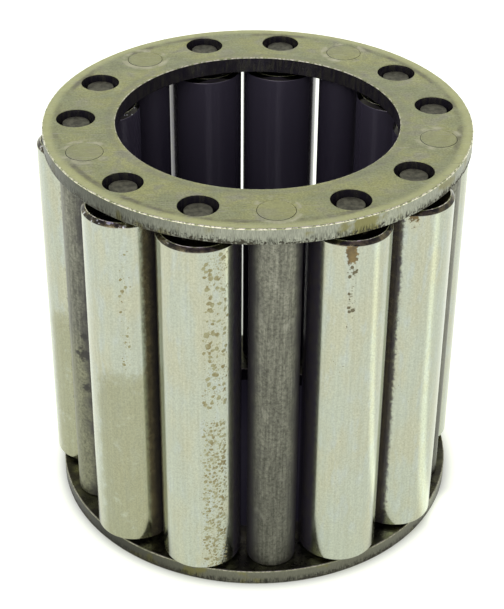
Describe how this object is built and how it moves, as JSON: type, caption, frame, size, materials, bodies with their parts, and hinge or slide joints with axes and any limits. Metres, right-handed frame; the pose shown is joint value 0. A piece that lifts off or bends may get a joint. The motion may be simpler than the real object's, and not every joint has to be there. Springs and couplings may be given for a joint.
{
  "type": "cage and roller bearing",
  "caption": "Loose cage-and-roller bearing: flat steel end rings joined by riveted spacer bars carry solid rollers on end trunnions around an open shaft bore.",
  "frame": {"origin": "on the bearing axis, in the outer face of the lower end ring", "axes": "+Z along the bearing axis, from the lower end ring to the upper end ring; one spacer bar stands on the -Y side, and the bearing is symmetric left to right about the YZ plane"},
  "size_m": [0.0696, 0.0679, 0.0672],
  "materials": {
    "end_ring": "punched and lightly brushed steel plate under a thin yellowish oil film, with fine scratches, small pits and turning marks",
    "spacer_bar": "dark rolled steel bar, mottled and finely pitted",
    "roller": "fine-ground hardened steel with brown rust spots and oily ends"
  },
  "bodies": {
    "cage": {"lower_end_ring": "end_ring", "upper_end_ring": "end_ring", "spacer_bar_1": "spacer_bar", "spacer_bar_2": "spacer_bar", "spacer_bar_3": "spacer_bar", "spacer_bar_4": "spacer_bar", "spacer_bar_5": "spacer_bar"},
    "roller_01": {"roller_01": "roller"},
    "roller_02": {"roller_02": "roller"},
    "roller_03": {"roller_03": "roller"},
    "roller_04": {"roller_04": "roller"},
    "roller_05": {"roller_05": "roller"},
    "roller_06": {"roller_06": "roller"},
    "roller_07": {"roller_07": "roller"},
    "roller_08": {"roller_08": "roller"},
    "roller_09": {"roller_09": "roller"},
    "roller_10": {"roller_10": "roller"}
  },
  "joints": [
    {"name": "roller_01_spin", "type": "hinge", "parent": "cage", "child": "roller_01", "pos_m": [0.01107, -0.02634, 0.03325], "axis": [0, 0, 1], "continuous": true},
    {"name": "roller_02_spin", "type": "hinge", "parent": "cage", "child": "roller_02", "pos_m": [0.02163, -0.01867, 0.03325], "axis": [0, 0, 1], "continuous": true},
    {"name": "roller_03_spin", "type": "hinge", "parent": "cage", "child": "roller_03", "pos_m": [0.02847, 0.00239, 0.03325], "axis": [0, 0, 1], "continuous": true},
    {"name": "roller_04_spin", "type": "hinge", "parent": "cage", "child": "roller_04", "pos_m": [0.02444, 0.0148, 0.03325], "axis": [0, 0, 1], "continuous": true},
    {"name": "roller_05_spin", "type": "hinge", "parent": "cage", "child": "roller_05", "pos_m": [0.00653, 0.02782, 0.03325], "axis": [0, 0, 1], "continuous": true},
    {"name": "roller_06_spin", "type": "hinge", "parent": "cage", "child": "roller_06", "pos_m": [-0.00653, 0.02782, 0.03325], "axis": [0, 0, 1], "continuous": true},
    {"name": "roller_07_spin", "type": "hinge", "parent": "cage", "child": "roller_07", "pos_m": [-0.02444, 0.0148, 0.03325], "axis": [0, 0, 1], "continuous": true},
    {"name": "roller_08_spin", "type": "hinge", "parent": "cage", "child": "roller_08", "pos_m": [-0.02847, 0.00239, 0.03325], "axis": [0, 0, 1], "continuous": true},
    {"name": "roller_09_spin", "type": "hinge", "parent": "cage", "child": "roller_09", "pos_m": [-0.02163, -0.01867, 0.03325], "axis": [0, 0, 1], "continuous": true},
    {"name": "roller_10_spin", "type": "hinge", "parent": "cage", "child": "roller_10", "pos_m": [-0.01107, -0.02634, 0.03325], "axis": [0, 0, 1], "continuous": true}
  ]
}
